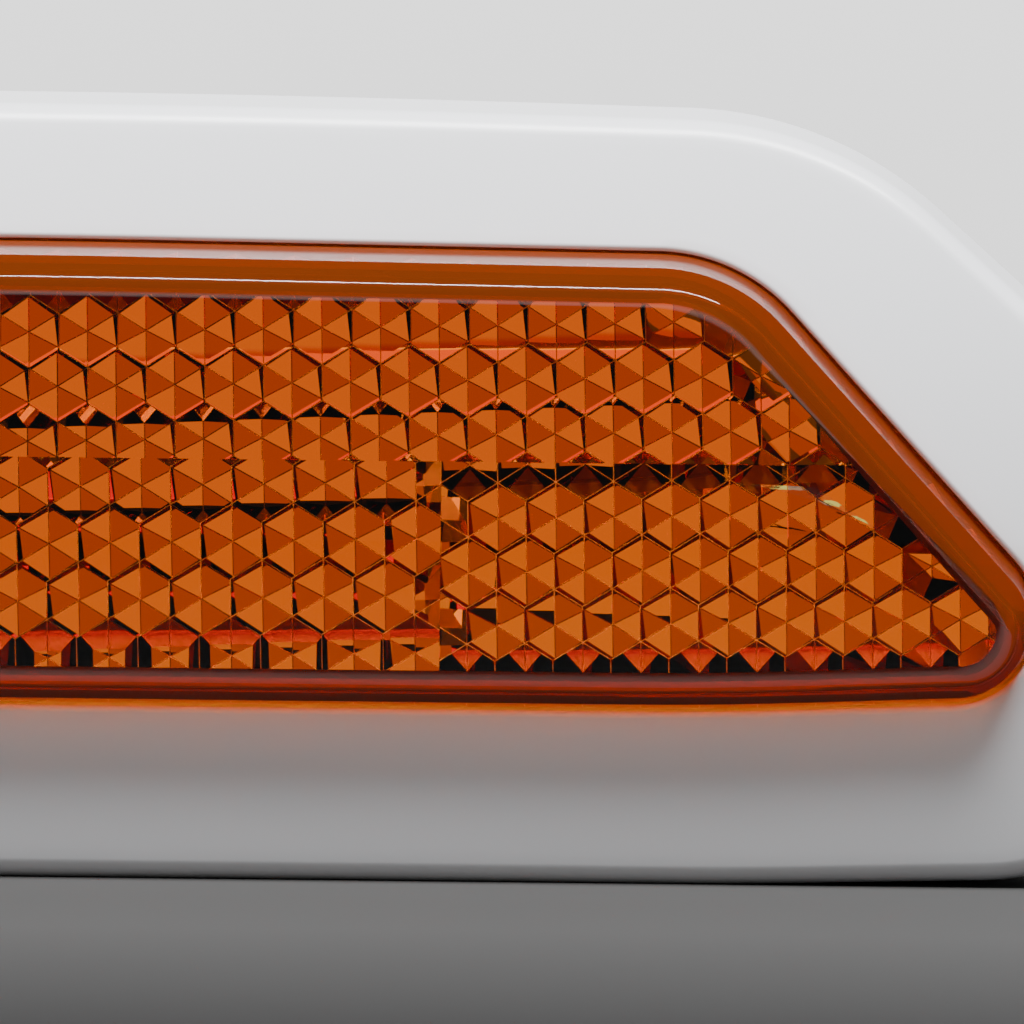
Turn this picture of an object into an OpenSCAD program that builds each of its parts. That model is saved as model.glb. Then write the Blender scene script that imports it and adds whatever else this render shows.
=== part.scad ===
// Side marker lamp: white bezel, amber lens with a cube-corner reflex field, wedge bulb in a
// twist-in holder. Millimetres. X runs along the lamp, Z up, and the lens faces -Y.
// The origin is the middle of the two fixing holes, on the plane that seats on the panel.

/* [Bezel] */
// From the fixing holes' middle to the left end
bezel_left = 58; // [54:0.5:64]
// From the fixing holes' middle to the right end
bezel_right = 55.7; // [54:0.1:60]
// Height of the top edge at its crest
bezel_top = 16.7; // [16:0.1:19]
// Depth of the straight bottom edge
bezel_bottom = 18.4; // [17.5:0.1:21]
// Fall of the top edge on each side of its crest, degrees
bezel_top_slope = 1.2; // [0.6:0.1:2]
// Slope of the slanted edge, degrees
bezel_slant = 41.7; // [38:0.1:46]
// From the fixing holes' middle to the middle of the slanted edge
bezel_slant_x = 47.55; // [46.5:0.05:51]
// Height of the middle of the slanted edge
bezel_slant_z = 8.4; // [7.5:0.1:10]
// Rise of the bottom edge towards the right end, degrees
bezel_heel_slope = 1.6; // [1:0.1:2.5]
// Where that rise starts, to the right of the origin
bezel_heel_start = 34.6; // [25:0.2:40]
// Radius of the crest of the top edge
bezel_crest_r = 1225; // [800:5:1400]
// Radius where the top edge turns into the slant
bezel_shoulder_r = 17.6; // [12:0.2:20]
// Radius where the slant turns into the right end
bezel_nose_r = 9; // [6:0.5:12]
// Radius of the corner at the bottom right
bezel_toe_r = 10; // [7:0.5:12]
// Radius of the two corners at the left end
bezel_left_r = 9; // [6:0.5:12]
// Radius that eases the start of the rise in the bottom edge
bezel_heel_r = 200; // [100:5:300]
// Depth from the seat to the middle of the crowned face
bezel_depth = 14.4; // [13.8:0.1:17]
// Radius of the crown of the face
bezel_crown_r = 55; // [48:1:80]
// Thickness of the moulding
bezel_wall = 2.2; // [1.8:0.1:2.5]
// Rounding of the front edge
bezel_edge_r = 0.9; // [0.5:0.1:1.3]
// Rounding of the edge around the window
window_edge_r = 0.3; // [0.1:0.05:0.5]
// Taper of the side walls over their height
bezel_draft = 0.15; // [0:0.05:0.3]
// Thickness of the collar around the window
collar_t = 1.3; // [1:0.1:1.5]
// Thickness of the ribs between the collar and the side wall
rib_t = 1.2; // [0.8:0.1:1.6]
// Spacing of those ribs
rib_pitch = 20; // [14:1:30]

/* [Lens] */
// From the fixing holes' middle to the left end of the lens
lens_left = 48.3; // [45:0.1:48.6]
// From the fixing holes' middle to the right end of the lens
lens_right = 48.1; // [47.5:0.1:48.8]
// Height of the top edge of the lens at its crest
lens_top = 10.4; // [9.8:0.1:10.8]
// Depth of the bottom edge of the lens
lens_bottom = 10.4; // [9.8:0.1:10.8]
// Fall of the top edge on each side of its crest, degrees
lens_top_slope = 0.6; // [0.2:0.1:1]
// Slope of the slanted edge, degrees
lens_slant = 47.4; // [45:0.1:50]
// From the fixing holes' middle to the slanted edge, just above the nose
lens_slant_x = 46.57; // [45.6:0.01:47]
// Height at which that is measured
lens_slant_z = -3; // [-3.5:0.1:-2.4]
// Rise of the bottom edge towards the nose, degrees
lens_heel_slope = 2.4; // [1.5:0.1:3]
// Where that rise starts, to the right of the origin
lens_heel_start = 33.7; // [25:0.2:38]
// Radius of the crest of the top edge
lens_crest_r = 910; // [600:5:1200]
// Radius where the top edge turns into the slant
lens_shoulder_r = 8.2; // [6:0.2:10]
// Radius of the nose at the right end
lens_nose_r = 3.9; // [3:0.1:4.2]
// Radius of the two corners at the left end
lens_left_r = 3.9; // [3:0.1:5]
// Radius that eases the start of the rise in the bottom edge
lens_heel_r = 200; // [100:5:300]
// How far the lens stands proud of the bezel's face, at its middle
lens_proud = 1.6; // [1:0.1:2.2]
// Radius of the crown of the lens
lens_crown_r = 90; // [70:1:140]
// Depth of the crease between the steep rim and the shoulder, below the crown
crease_drop = 0.4; // [0.3:0.02:0.8]
// Width of the rim and shoulder along the top and the slant
shoulder_w = 1.5; // [1.2:0.05:1.8]
// Width of the rim and shoulder along the bottom and the ends
shoulder_low_w = 0.75; // [0.6:0.05:1]
// Thickness of the skirt along the top and the slant
skirt_t = 2.45; // [2:0.05:2.6]
// Thickness of the skirt along the bottom and the ends
skirt_low_t = 1.75; // [1.4:0.05:2]
// Width of the flange behind the bezel
flange_w = 1; // [0.7:0.05:1.1]
// Thickness of that flange
flange_t = 1.5; // [1:0.1:1.8]
// Radius of the flutes inside the top of the skirt
flute_r = 0.35; // [0.2:0.05:0.45]

/* [Reflex pins] */
// Spacing of the columns of pin edges in the upper block, half of a pin's width
pin_column = 1.32; // [1.1:0.02:1.6]
// Length of a pin's upright side in the upper block
pin_side = 1.61; // [1.35:0.01:1.9]
// Drop from one level of a pin to the next in the upper block
pin_step = 1.075; // [0.9:0.005:1.2]
// Size of the lower left block's pins against the upper block's
left_pin_scale = 1.046; // [0.95:0.002:1.06]
// Size of the lower right block's pins against the upper block's
right_pin_scale = 0.99; // [0.95:0.002:1.06]
// Angle by which the pins look up
pin_lean = 1.75; // [0:0.01:4]
// Angle by which they look aside
pin_swing = 1.92; // [0:0.02:3]
// Depth of the pins' roots in front of the seat, at the middle of the field
pin_root = 13.4; // [13.2:0.1:13.6]
// Climb of the rows of pins towards the right end, per millimetre
pin_row_rise = 0.025; // [0:0.005:0.04]
// Height of the level joint between the upper and the lower blocks
joint_level = 0.7; // [-2:0.1:3]
// Place of the upright joint between the two lower blocks
joint_upright = 21.3; // [10:0.1:35]
// Place along the lamp of one pin's root in the upper block
upper_root_x = 7.99; // [7.5:0.01:8.5]
// Height of that root above the level joint
upper_root_z = 2.46; // [2:0.01:3]
// Place along the lamp of one pin's root in the lower left block
left_root_x = 7.71; // [7.2:0.01:8.2]
// Depth of that root below the level joint
left_root_z = 2.94; // [2.5:0.01:3.5]
// Distance of one pin's root in the lower right block from the upright joint
right_root_x = 1.2; // [0.6:0.01:1.25]
// Depth of that root below the level joint
right_root_z = 1.77; // [1.3:0.01:2.3]

/* [Lamp body] */
// Depth of the rear plate in front of the seat
plate_recess = 1.5; // [1:0.1:2]
// Thickness of the rear plate
plate_t = 2; // [1.6:0.1:2.4]
// Height of the ledge that carries the lens seal
ledge_h = 1.4; // [1:0.1:1.8]
// Thickness of the lip around the flange
lip_t = 0.9; // [0.7:0.05:1]
// Thickness of the tub behind the plate
tub_wall = 1.6; // [1.2:0.1:2]
// Radius of the bulb pod, inside
pod_r = 10.6; // [10.4:0.1:12]
// Depth of the pod's floor behind the seat, inside
pod_depth = 9.5; // [9:0.1:11]
// Thickness of the pod's floor
pod_floor = 2; // [1.6:0.1:2.4]
// Radius of the hole for the bulb holder
socket_r = 8.1; // [7.8:0.1:8.3]
// Outer radius of the bosses around the inserts
boss_r = 4.4; // [4:0.1:5]
// Radius of the reflector posts
post_r = 1.6; // [1.4:0.1:2]
// Radius of the staking pins on those posts
stake_r = 1; // [0.8:0.05:1.1]
// Distance of the posts from the origin along the lamp
post_x = 27; // [24:0.5:31]
// Distance of the posts from the origin across the lamp
post_y = 4.5; // [3:0.1:5]
// Gap between the vent's cap and the pod
vent_gap = 0.6; // [0.3:0.1:1.2]
// Outer radius of the vent spigot
vent_r = 2.2; // [1.8:0.1:2.4]
// Length of the vent spigot
vent_l = 4.5; // [3.5:0.1:6]
// Radius of the vent's bore
vent_bore_r = 1; // [0.7:0.05:1.2]

/* [Reflector] */
// Thickness of the reflector
reflector_t = 1.2; // [1:0.05:1.4]
// Depth of its flat wings in front of the seat, at their face
reflector_face = 7.5; // [7.3:0.1:7.8]
// Radius of the bowl at the wings
bowl_r = 20; // [18:0.2:21]
// Radius of the bulb's hole in the bowl
bowl_hole_r = 6.2; // [5.6:0.1:6.8]
// Height of the filament in front of the seat, where the bowl has its focus
focus = 2; // [1:0.1:2.4]

/* [Bulb] */
// Radius of the bulb's glass
bulb_r = 4.9; // [4.5:0.1:5.1]
// Height of the bulb's tip in front of the seat
bulb_tip = 9.8; // [9.2:0.1:10.2]
// Length of the bulb with its base
bulb_l = 26.8; // [26:0.1:27.4]
// Thickness of the bulb's glass
glass_t = 0.6; // [0.4:0.05:0.8]
// Width of the wedge base
wedge_w = 9.4; // [9:0.1:9.6]
// Thickness of the wedge base
wedge_t = 2.4; // [2.2:0.1:2.6]
// Length of the wedge base
wedge_l = 6.4; // [6:0.1:6.8]
// Radius of the lead-in wires
lead_r = 0.2; // [0.15:0.01:0.25]
// Half the distance between the supports of the filament
lead_x = 1.7; // [1.4:0.1:2]
// Radius of the coiled filament
filament_r = 0.3; // [0.2:0.02:0.4]

/* [Bulb holder] */
// Radius of the holder's flange
holder_flange_r = 11.4; // [11:0.1:13]
// Thickness of the holder's flange
holder_flange_t = 1.8; // [1.4:0.1:2.2]
// Thickness of the bayonet lugs
lug_t = 1.3; // [1:0.1:1.6]
// Outer radius of the bayonet lugs
lug_r = 9.7; // [9.4:0.05:9.9]
// Width of the bayonet lugs as an angle
lug_angle = 34; // [26:1:40]
// Turn of the first lug about the bulb's axis
lug_turn = 30; // [20:1:40]
// Height of the holder's neck above its lugs
neck_rim = 0.4; // [0.2:0.1:0.8]
// Outer radius of the ring seal
holder_seal_r = 10.6; // [10.2:0.1:10.9]
// Thickness of the ring seal as fitted
holder_seal_t = 1.2; // [1:0.1:1.6]
// Width of the connector shroud
shroud_w = 16; // [15:0.2:18]
// Height of the connector shroud
shroud_h = 12.4; // [12.2:0.1:14]
// Thickness of the shroud's walls
shroud_t = 1.3; // [1:0.1:1.5]
// Length of the solid body between the flange and the shroud
grip_l = 5.5; // [5:0.1:7]
// Length of the connector shroud
shroud_l = 11; // [9:0.2:13]
// Width of the two blades
blade_w = 2.8; // [2.2:0.1:3]
// Thickness of the two blades
blade_t = 0.8; // [0.6:0.05:1]
// Thickness of the spring arms of the contacts
spring_t = 0.5; // [0.35:0.05:0.6]
// Distance of the blades from the bulb's axis
blade_x = 3.2; // [2.8:0.1:3.3]

/* [Fixings] */
// Distance between the two fixing holes
fixing_spacing = 64; // [58:0.5:68]
// Radius of the thread's bore in the inserts
fixing_bore_r = 1.65; // [1.2:0.05:2]
// Outer radius of the inserts
insert_r = 2.8; // [2.5:0.1:3.2]
// Length of the inserts
insert_l = 5; // [4:0.1:5]
// Radius of the screws that hold the body to the bezel
screw_r = 0.83; // [0.7:0.01:0.9]
// Length of those screws under the head
screw_l = 8; // [6:0.2:8.4]
// Radius of the screws' heads
screw_head_r = 1.9; // [1.7:0.05:2]
// Height of the screws' heads
screw_head_h = 1.2; // [0.9:0.05:1.3]
// Radius of the screw bosses in the bezel
screw_boss_r = 2; // [1.8:0.05:2.1]

/* [Fits] */
// Gap between the lens and the bezel's window
window_gap = 0.12; // [0.05:0.01:0.2]
// Gap between a loose piece and its seat
loose_gap = 0.3; // [0.2:0.05:0.4]
// Gap between pieces that locate each other
close_gap = 0.1; // [0.05:0.01:0.15]
// Gap around a screw in its clearance hole
screw_gap = 0.35; // [0.2:0.05:0.4]

/* [Hidden] */
white = [0.93, 0.93, 0.95];
amber = [0.9, 0.42, 0.03];
grey = [0.28, 0.28, 0.3];
brass = [0.8, 0.66, 0.35];
steel = [0.7, 0.71, 0.73];
black = [0.09, 0.09, 0.1];

// An outline is a list of straight edges, each [outward angle, distance from the origin], taken
// anticlockwise from the right end, and a radius for the corner after each edge.
function edge_through(angle, p) = [angle, p[0] * cos(angle) + p[1] * sin(angle)];
function crest(top, radius, slope) = top + radius * (1 / cos(slope) - 1);
bezel_crest = [0, crest(bezel_top, bezel_crest_r, bezel_top_slope)];
bezel_edges = [[0, bezel_right], edge_through(90 - bezel_slant, [bezel_slant_x, bezel_slant_z]),
    edge_through(90 - bezel_top_slope, bezel_crest),
    edge_through(90 + bezel_top_slope, bezel_crest), [180, bezel_left], [270, bezel_bottom],
    edge_through(270 + bezel_heel_slope, [bezel_heel_start, -bezel_bottom])];
bezel_radii = [bezel_nose_r, bezel_shoulder_r, bezel_crest_r, bezel_left_r, bezel_left_r,
    bezel_heel_r, bezel_toe_r];
lens_crest = [0, crest(lens_top, lens_crest_r, lens_top_slope)];
lens_edges = [[0, lens_right], edge_through(90 - lens_slant, [lens_slant_x, lens_slant_z]),
    edge_through(90 - lens_top_slope, lens_crest),
    edge_through(90 + lens_top_slope, lens_crest), [180, lens_left], [270, lens_bottom],
    edge_through(270 + lens_heel_slope, [lens_heel_start, -lens_bottom])];
lens_radii = [lens_nose_r, lens_shoulder_r, lens_crest_r, lens_left_r, lens_left_r,
    lens_heel_r, lens_nose_r];
arc_steps = [6, 8, 6, 8, 8, 2, 8];

// Widths that differ between the top and slant and the bottom and ends, edge by edge
function by_edge(high, low) = [low, high, high, high, low, low, low];
evenly = [1, 1, 1, 1, 1, 1, 1];
shoulder = by_edge(shoulder_w, shoulder_low_w);
skirt = by_edge(skirt_t, skirt_low_t);
draft = bezel_draft * [1, 1, 1, 1, 1, 0, 0];

// Heights of the stack in front of the seat
plate_face = plate_recess + plate_t;
ledge_face = plate_face + ledge_h;
seal_t = 1.6;
lens_rear = ledge_face + seal_t;
flange_face = lens_rear + flange_t;
collar_end = flange_face + close_gap;
lens_depth = bezel_depth + lens_proud;
bezel_middle = (bezel_top - bezel_bottom) / 2;

// Depths of the stack behind the seat
pod_back = pod_depth + pod_floor;
flange_front = pod_back + holder_seal_t;
grip_front = flange_front + holder_flange_t;
shroud_floor = grip_front + grip_l;
shroud_end = shroud_floor + shroud_l;
bulb_base = bulb_l - bulb_tip;
slot_floor = bulb_base + 2 * lead_r + close_gap + spring_t;

// The bowl is a paraboloid with its focus at the filament
bowl_focal = (sqrt(pow(reflector_face - focus, 2) + pow(bowl_r, 2)) - (reflector_face - focus)) / 2;
bowl_vertex = focus - bowl_focal;
bowl_rim = 0.6;
bowl_half_h = lens_bottom - skirt_low_t - loose_gap - reflector_t - bowl_rim;
bowl_spread = 0.6 * reflector_t;
function bowl_back(r) = bowl_vertex - reflector_t + pow(r - bowl_spread, 2) / bowl_focal / 4;
tub_depth = loose_gap - bowl_back(pod_r - loose_gap);
tub_r = 2 * sqrt(bowl_focal * (plate_face - bowl_vertex + reflector_t)) + bowl_spread + loose_gap;
tub_half_h = bowl_half_h + reflector_t + loose_gap;
cap_t = 1.2;
cap_rim = 1.8;
vent_x = pod_r + tub_wall + vent_r + cap_rim + vent_gap;

least_r = 0.2;
pin_root_in = 0.05;
field_back = pin_root + lens_bottom * tan(pin_lean) + pin_root_in;
insert_boss_top = insert_l + 1;

// Screws between the body and the bezel, each half-way between the body's lip and the side wall
lip_out = flange_w + close_gap + lip_t;
screw_left_x = (bezel_left - bezel_wall + lens_left + lip_out) / 2;
screw_nose_x = (bezel_right - bezel_wall + lens_slant_x + lip_out * sin(lens_slant)) / 2;
screw_nose_z = lens_slant_z + lip_out * cos(lens_slant) + loose_gap;
function toe_middle(points) = points[len(points) - 1 - arc_steps[6] / 2];
screw_places = [[-screw_left_x, bezel_top - bezel_left_r], [-screw_left_x, bezel_left_r - bezel_bottom],
    [screw_nose_x, screw_nose_z],
    (toe_middle(lens_outline(-lip_out)) + toe_middle(bezel_outline(bezel_wall))) / 2];

// Geometry of the outlines
function crossing(p, q) = let (k = sin(q[0] - p[0]))
    [(p[1] * sin(q[0]) - q[1] * sin(p[0])) / k, (q[1] * cos(p[0]) - p[1] * cos(q[0])) / k];
function inset_of(by, i) = is_list(by) ? by[i] : by;
function moved(edges, by) = [for (i = [0:len(edges) - 1]) [edges[i][0], edges[i][1] - inset_of(by, i)]];
function turn(p, q) = (q[0] - p[0] + 360) % 360;
function inner_radius(r, a, b) = max(least_r, r - max(a, b) - abs(a - b));

// Share of their wished radii that the two corners of an edge have room for
function room(edges, radii, i) = let (
    n = len(edges), before = edges[(i + n - 1) % n], here = edges[i], after = edges[(i + 1) % n],
    length = norm(crossing(here, after) - crossing(before, here)),
    wished = radii[(i + n - 1) % n] * tan(turn(before, here) / 2) + radii[i] * tan(turn(here, after) / 2))
    min(1, 0.995 * length / wished);
function corner(p, q, r, steps) = let (
    t = turn(p, q), middle = p[0] + t / 2,
    centre = crossing(p, q) - r / cos(t / 2) * [cos(middle), sin(middle)])
    [for (k = [0:steps]) let (a = p[0] + t * k / steps) centre + r * [cos(a), sin(a)]];
function outline(edges, radii, by = 0) = let (
    n = len(edges), e = moved(edges, by),
    wished = [for (i = [0:n - 1]) inner_radius(radii[i], inset_of(by, i), inset_of(by, (i + 1) % n))],
    rooms = [for (i = [0:n - 1]) room(e, wished, i)])
    [for (i = [0:n - 1]) each corner(e[i], e[(i + 1) % n],
        wished[i] * min(rooms[i], rooms[(i + 1) % n]), arc_steps[i])];
function bezel_outline(by = 0) = outline(bezel_edges, bezel_radii, by);
function lens_outline(by = 0) = outline(lens_edges, lens_radii, by);
function window_outline(by = 0) = lens_outline(by - window_gap);

// Rings in space: a flat one at a height in front of the seat, one on a crown, and a blend of two
function sag(r, d) = r - sqrt(r * r - d * d);
function bezel_face(y) = bezel_depth - sag(bezel_crown_r, y - bezel_middle);
function lens_face(y) = lens_depth - sag(lens_crown_r, y);
function at(points, height) = [for (p = points) [p[0], p[1], height]];
function on_bezel(points, drop) = [for (p = points) [p[0], p[1], bezel_face(p[1]) - drop]];
function on_lens(points, drop) = [for (p = points) [p[0], p[1], lens_face(p[1]) - drop]];
function blend(a, b, t) = [for (i = [0:len(a) - 1]) a[i] * (1 - t) + b[i] * t];

// Skin of triangles between the rings, which all have as many points
function band(n, low, high) = [for (i = [0:n - 1]) let (k = (i + 1) % n)
    each [[low + i, high + i, high + k], [low + i, high + k, low + k]]];

// Stands a piece drawn flat on the seat upright, with its front facing -Y
module upright() {
    rotate([90, 0, 0]) children();
}

// A prism between two heights in front of the seat
module slab(low, high) {
    translate([0, 0, low]) linear_extrude(high - low) children();
}

module bore(r, low, high) {
    translate([0, 0, low]) cylinder(h = high - low, r = r, $fn = 48);
}

// Bezel: a hollow frame lofted through rings, from the rear rim over the face to the window's
// collar and back along the inside, with screw bosses and ribs
function bezel_rings() = let (
    outside = bezel_outline(bezel_edge_r * evenly + draft),
    inside = window_outline(-window_edge_r), cavity = bezel_outline(bezel_wall),
    collar = window_outline(-collar_t))
    concat([at(bezel_outline(0), 0)],
        [for (a = [0:30:60]) on_bezel(bezel_outline(bezel_edge_r * (1 - cos(a)) * evenly + draft),
            bezel_edge_r * (1 - sin(a)))],
        [for (t = [0:0.2:1]) on_bezel(blend(outside, inside, t), 0)],
        [on_bezel(window_outline(-window_edge_r * (1 - sin(45))), window_edge_r * (1 - cos(45))),
            on_bezel(window_outline(0), window_edge_r),
            at(window_outline(0), collar_end),
            at(collar, collar_end),
            on_bezel(collar, bezel_wall),
            on_bezel(blend(collar, cavity, 0.5), bezel_wall),
            on_bezel(cavity, bezel_wall),
            at(cavity, 0)]);

module bezel_shell() {
    rings = bezel_rings();
    n = len(rings[0]);
    m = len(rings);
    polyhedron([for (r = rings) each r],
        [for (j = [0:m - 1]) each band(n, j * n, (j + 1) % m * n)]);
}

module bezel_ribs() {
    for (x = [-2 * rib_pitch:rib_pitch:rib_pitch])
        for (side = [[lens_top + window_gap + collar_t / 2, bezel_top - bezel_wall / 2],
                [-bezel_bottom + bezel_wall / 2, -lens_bottom - window_gap - collar_t / 2]])
            translate([x - rib_t / 2, side[0], collar_end])
                cube([rib_t, side[1] - side[0], bezel_face(bezel_bottom + bezel_middle) - bezel_wall / 2 - collar_end]);
}

module bezel() {
    color(white) upright() difference() {
        union() {
            bezel_shell();
            bezel_ribs();
            for (p = screw_places)
                translate(p) bore(screw_boss_r, plate_face, bezel_face(p[1]) - bezel_wall / 2);
        }
        for (p = screw_places)
            translate(p) bore(screw_r + close_gap / 5, plate_face - 1, plate_face + screw_l);
    }
}

// Lens: a crowned dome with a steep rim, a skirt and a flange, lofted through rings and closed
// over the crown's ridge, with flutes in the skirt and the reflex field inside
function lens_rings() = let (
    rim = lens_outline(0), flange = lens_outline(-flange_w), inner = lens_outline(skirt),
    plateau = lens_outline(shoulder), ridge = [for (p = plateau) [p[0] * 0.8, 0]])
    concat([at(inner, field_back), at(inner, lens_rear), at(flange, lens_rear),
            at(flange, flange_face), at(rim, flange_face),
            on_lens(lens_outline(0.04), lens_proud + 0.7),
            on_lens(lens_outline(shoulder * 0.4), crease_drop),
            on_lens(lens_outline(shoulder * 0.8), crease_drop / 2),
            on_lens(plateau, 0)],
        [for (t = [0.12, 0.3, 0.5, 0.7, 0.94]) on_lens(blend(plateau, ridge, t), 0)]);

module lens_shell() {
    rings = lens_rings();
    n = len(rings[0]);
    m = len(rings);
    polyhedron(concat([for (r = rings) each r], [[0, 0, lens_face(0)]]),
        concat([for (j = [0:m - 2]) each band(n, j * n, (j + 1) * n)],
            [[for (i = [0:n - 1]) i]],
            [for (i = [0:n - 1]) [(m - 1) * n + i, m * n, (m - 1) * n + (i + 1) % n]]));
}

// Cube-corner pins around one root at the origin: columns of upright edges, each vertex on one
// of three levels, so that every three neighbours span one triangle of a cube's face. The pins
// lean by pin_lean and pin_swing, and way is -1 where the sheet is used upside down.
module pin_sheet(before, after, pitch, way) {
    column = pin_column * pitch;
    side = pin_side * pitch;
    step = pin_step * pitch;
    function level(i, j) = ((j - floor(i / 2) - i) % 3 + 3) % 3;
    function spot(i, j) =
        [i * column, (j + i / 2 - floor(i / 2)) * side + i * column * pin_row_rise * way];
    function pin(i, j) = let (p = spot(i, j), depth = level(i, j) * step)
        [p[0] - way * tan(pin_swing) * depth, p[1] - way * tan(pin_lean) * depth,
            -depth - way * tan(pin_lean) * p[1]];
    columns = before[0] + after[0];
    rows = before[1] + after[1];
    n = rows + 1;
    count = (columns + 1) * n;
    front = field_back + pin_step - pin_root;
    points = concat(
        [for (i = [-before[0]:after[0]], j = [-before[1]:after[1]]) pin(i, j)],
        [for (i = [-before[0]:after[0]], j = [-before[1]:after[1]]) [each spot(i, j), front]]);
    function cells(o) = [for (i = [0:columns - 1], j = [0:rows - 1]) let (
        a = o + i * n + j, b = a + n)
        each (i % 2 == 0 ? [[a, b, a + 1], [b, b + 1, a + 1]] : [[a, b, b + 1], [a, b + 1, a + 1]])];
    edge = concat([for (j = [0:rows - 1]) j], [for (i = [0:columns - 1]) i * n + rows],
        [for (j = [rows:-1:1]) columns * n + j], [for (i = [columns:-1:1]) i * n]);
    polyhedron(points, concat(cells(0),
        [for (f = cells(count)) [f[0], f[2], f[1]]],
        [for (k = [0:len(edge) - 1]) let (a = edge[k], b = edge[(k + 1) % len(edge)])
            each [[a, b, b + count], [a, b + count, a + count]]]));
}

// One block of pins: its rectangle of the field, the root of one of its pins, the size of its
// pins and the way up of its sheet
module pin_block(low, high, root, pitch, way) {
    column = pin_column * pitch;
    side = pin_side * pitch;
    below = root[1] - low[1];
    above = high[1] - root[1];
    before = [2 * ceil((root[0] - low[0]) / column / 2) + 2, ceil((way > 0 ? below : above) / side) + 3];
    after = [ceil((high[0] - root[0]) / column) + 2, ceil((way > 0 ? above : below) / side) + 3];
    intersection() {
        translate([root[0], root[1], pin_root - tan(pin_lean) * root[1]])
            mirror([0, way < 0 ? 1 : 0, 0])
                pin_sheet(before, after, pitch, way);
        slab(pin_root - 4 * pin_step, field_back + pin_step / 2) intersection() {
            polygon(lens_outline(skirt - pin_root_in * evenly));
            translate(low) square(high - low);
        }
    }
}

module flute(x, y) {
    hull() {
        translate([x, y, reflector_face + loose_gap]) cylinder(h = 0.1, r = flute_r * 0.6, $fn = 8);
        translate([x, y, field_back + 0.2]) cylinder(h = 0.1, r = flute_r, $fn = 8);
    }
}

module lens() {
    top = moved(lens_edges, skirt)[2];
    flute_from = pin_column * round((2 * lens_left_r - lens_left) / pin_column);
    flute_to = crossing(lens_edges[1], lens_edges[2])[0] - lens_shoulder_r - 2 * shoulder_w;
    color(amber) upright() union() {
        lens_shell();
        pin_block([-lens_left, joint_level], [lens_right, lens_top],
            [upper_root_x, joint_level + upper_root_z], 1, 1);
        pin_block([-lens_left, -lens_bottom], [joint_upright, joint_level],
            [left_root_x, joint_level - left_root_z], left_pin_scale, -1);
        pin_block([joint_upright, -lens_bottom], [lens_right, joint_level],
            [joint_upright + right_root_x, joint_level - right_root_z], right_pin_scale, -1);
        for (x = [flute_from:pin_column:flute_to])
            flute(x, (top[1] - abs(x) * cos(top[0])) / sin(top[0]));
    }
}

// Seal: a ring pressed between the ledge of the body and the rear of the lens
module lens_seal() {
    color(black) upright() slab(ledge_face, lens_rear) difference() {
        polygon(lens_outline(-flange_w));
        polygon(lens_outline(skirt - loose_gap * evenly));
    }
}

// Racetrack section of the tub: a circle with two flats
module racetrack(r, half_h) {
    intersection() {
        circle(r = r, $fn = 96);
        square([3 * r, 2 * half_h], center = true);
    }
}

module body_openings() {
    slab(-tub_depth, plate_face + 1) racetrack(tub_r, tub_half_h);
    bore(pod_r, -pod_depth, 0);
    bore(socket_r, -pod_back - 1, 0);
    for (k = [0:2]) rotate([0, 0, 120 * k + 60 + lug_turn])
        lug_sector(lug_r + 0.3, lug_angle + 8, -pod_back - 1, -pod_depth + 1);
    for (side = [-1, 1]) translate([side * fixing_spacing / 2, 0]) bore(insert_r, -1, insert_l);
    for (p = screw_places) translate(p) bore(screw_r + screw_gap, -1, plate_face + 1);
    translate([vent_x, 0]) bore(vent_bore_r, -tub_depth - tub_wall - vent_l - 1, 0);
}

// One sector of a ring around the bulb's axis
module lug_sector(r, angle, low, high) {
    rotate([0, 0, -angle / 2]) translate([0, 0, low])
        rotate_extrude(angle = angle, $fn = 96) translate([socket_r - 2, 0]) square([r - socket_r + 2, high - low]);
}

module lamp_body() {
    color(grey) upright() {
        difference() {
            union() {
                slab(plate_recess, plate_face) polygon(bezel_outline(bezel_wall + loose_gap));
                slab(plate_face - 0.5, ledge_face) polygon(lens_outline(-lip_out));
                slab(ledge_face - 0.5, flange_face - close_gap) difference() {
                    polygon(lens_outline(-lip_out));
                    polygon(lens_outline(-flange_w - close_gap));
                }
                slab(-tub_depth - tub_wall, plate_recess + 0.5) racetrack(tub_r + tub_wall, tub_half_h + tub_wall);
                bore(pod_r + tub_wall, -pod_back, 0);
                for (side = [-1, 1]) translate([side * fixing_spacing / 2, 0]) bore(boss_r, 0, plate_face);
                translate([vent_x, 0]) bore(vent_r, -tub_depth - tub_wall - vent_l, -tub_depth);
            }
            slab(plate_face, ledge_face + 1) polygon(lens_outline(skirt));
            body_openings();
        }
        difference() {
            for (side = [-1, 1]) translate([side * fixing_spacing / 2, 0]) bore(boss_r, plate_recess, insert_boss_top);
            for (side = [-1, 1]) translate([side * fixing_spacing / 2, 0]) bore(insert_r, -1, insert_l);
        }
        for (x = [-post_x, post_x], y = [-post_y, post_y]) translate([x, y]) {
            bore(post_r, plate_face - 0.5, reflector_face - reflector_t);
            bore(stake_r, plate_face, reflector_face + 0.5);
            translate([0, 0, reflector_face]) cylinder(h = 0.7, r1 = stake_r * 1.8, r2 = stake_r * 1.1, $fn = 32);
        }
    }
}

// Reflector: flat wings behind the whole lens, and a bowl around the bulb
module paraboloid(grow) {
    steps = 12;
    r_end = bowl_r + 4;
    translate([0, 0, -grow]) rotate_extrude($fn = 96)
        polygon(concat([[0, bowl_vertex + r_end * r_end / bowl_focal / 4]],
            [for (k = [0:steps]) let (r = r_end * k / steps) [r + (k == 0 ? 0 : bowl_spread * grow / reflector_t), bowl_vertex + r * r / bowl_focal / 4]],
            [[r_end + bowl_spread * grow / reflector_t, bowl_vertex + r_end * r_end / bowl_focal / 4]]));
}

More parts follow.
